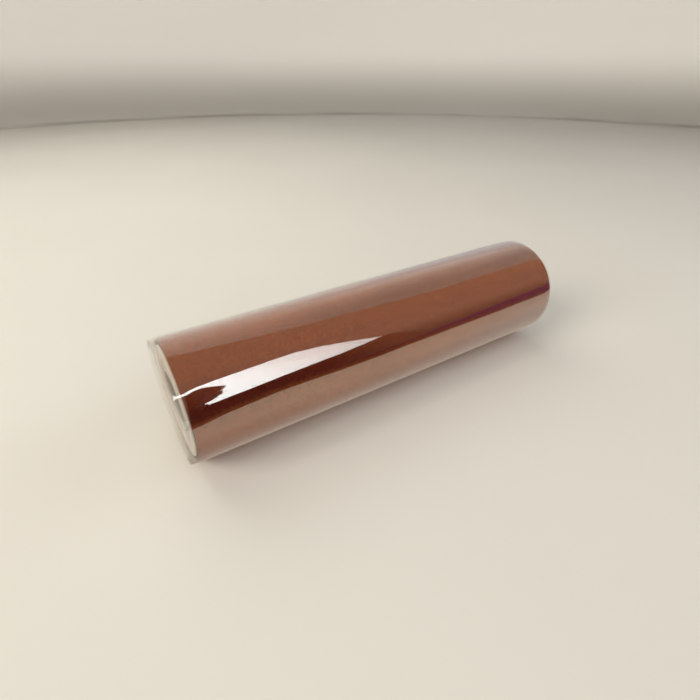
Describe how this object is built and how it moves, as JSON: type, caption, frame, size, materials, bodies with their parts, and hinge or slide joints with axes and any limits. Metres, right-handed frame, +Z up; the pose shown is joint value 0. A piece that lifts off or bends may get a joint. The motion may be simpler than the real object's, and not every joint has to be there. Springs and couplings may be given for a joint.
{
  "type": "copper foil roll",
  "caption": "Wide roll of adhesive-backed copper foil wound on a thick paper core, lying on its side in a clear slip-off wrap.",
  "frame": {"origin": "middle of the core's bore: on the roll's axis, halfway along the foil's width", "axes": "+X along the roll's axis towards the far end, +Z up as the roll lies on its side with the wrap's seam underneath, +Y towards the back"},
  "size_m": [0.3103, 0.0818, 0.0819],
  "materials": {
    "bore_ply": "smooth",
    "tube_board": "matte cut edge",
    "sleeve_board": "matte cut edge",
    "facing_paper": "matte",
    "start_tape": "matte",
    "foil_edges": "slit edges of many turns",
    "release_liner": "smooth",
    "copper_foil": "fine-grained, semi-matte",
    "tail_tape": "semi-matte",
    "wrap_film": "clear, glossy",
    "seam_film": "clear, glossy, two layers and tape"
  },
  "bodies": {
    "roll": {"core_bore_ply": "bore_ply", "core_tube": "tube_board", "core_sleeve": "sleeve_board", "core_facing_ply": "facing_paper", "start_tape": "start_tape", "foil_winding": "foil_edges", "liner_last_turn": "release_liner", "foil_last_turn": "copper_foil", "tail_tape_near": "tail_tape", "tail_tape_mid": "tail_tape", "tail_tape_far": "tail_tape"},
    "wrap": {"wrap_inner_turn": "wrap_film", "wrap_outer_turn": "wrap_film", "wrap_seam": "seam_film"}
  },
  "joints": [
    {"name": "wrap_slide", "type": "slide", "parent": "roll", "child": "wrap", "axis": [-1, 0, 0], "range_m": [-0.32, 0.32]}
  ]
}
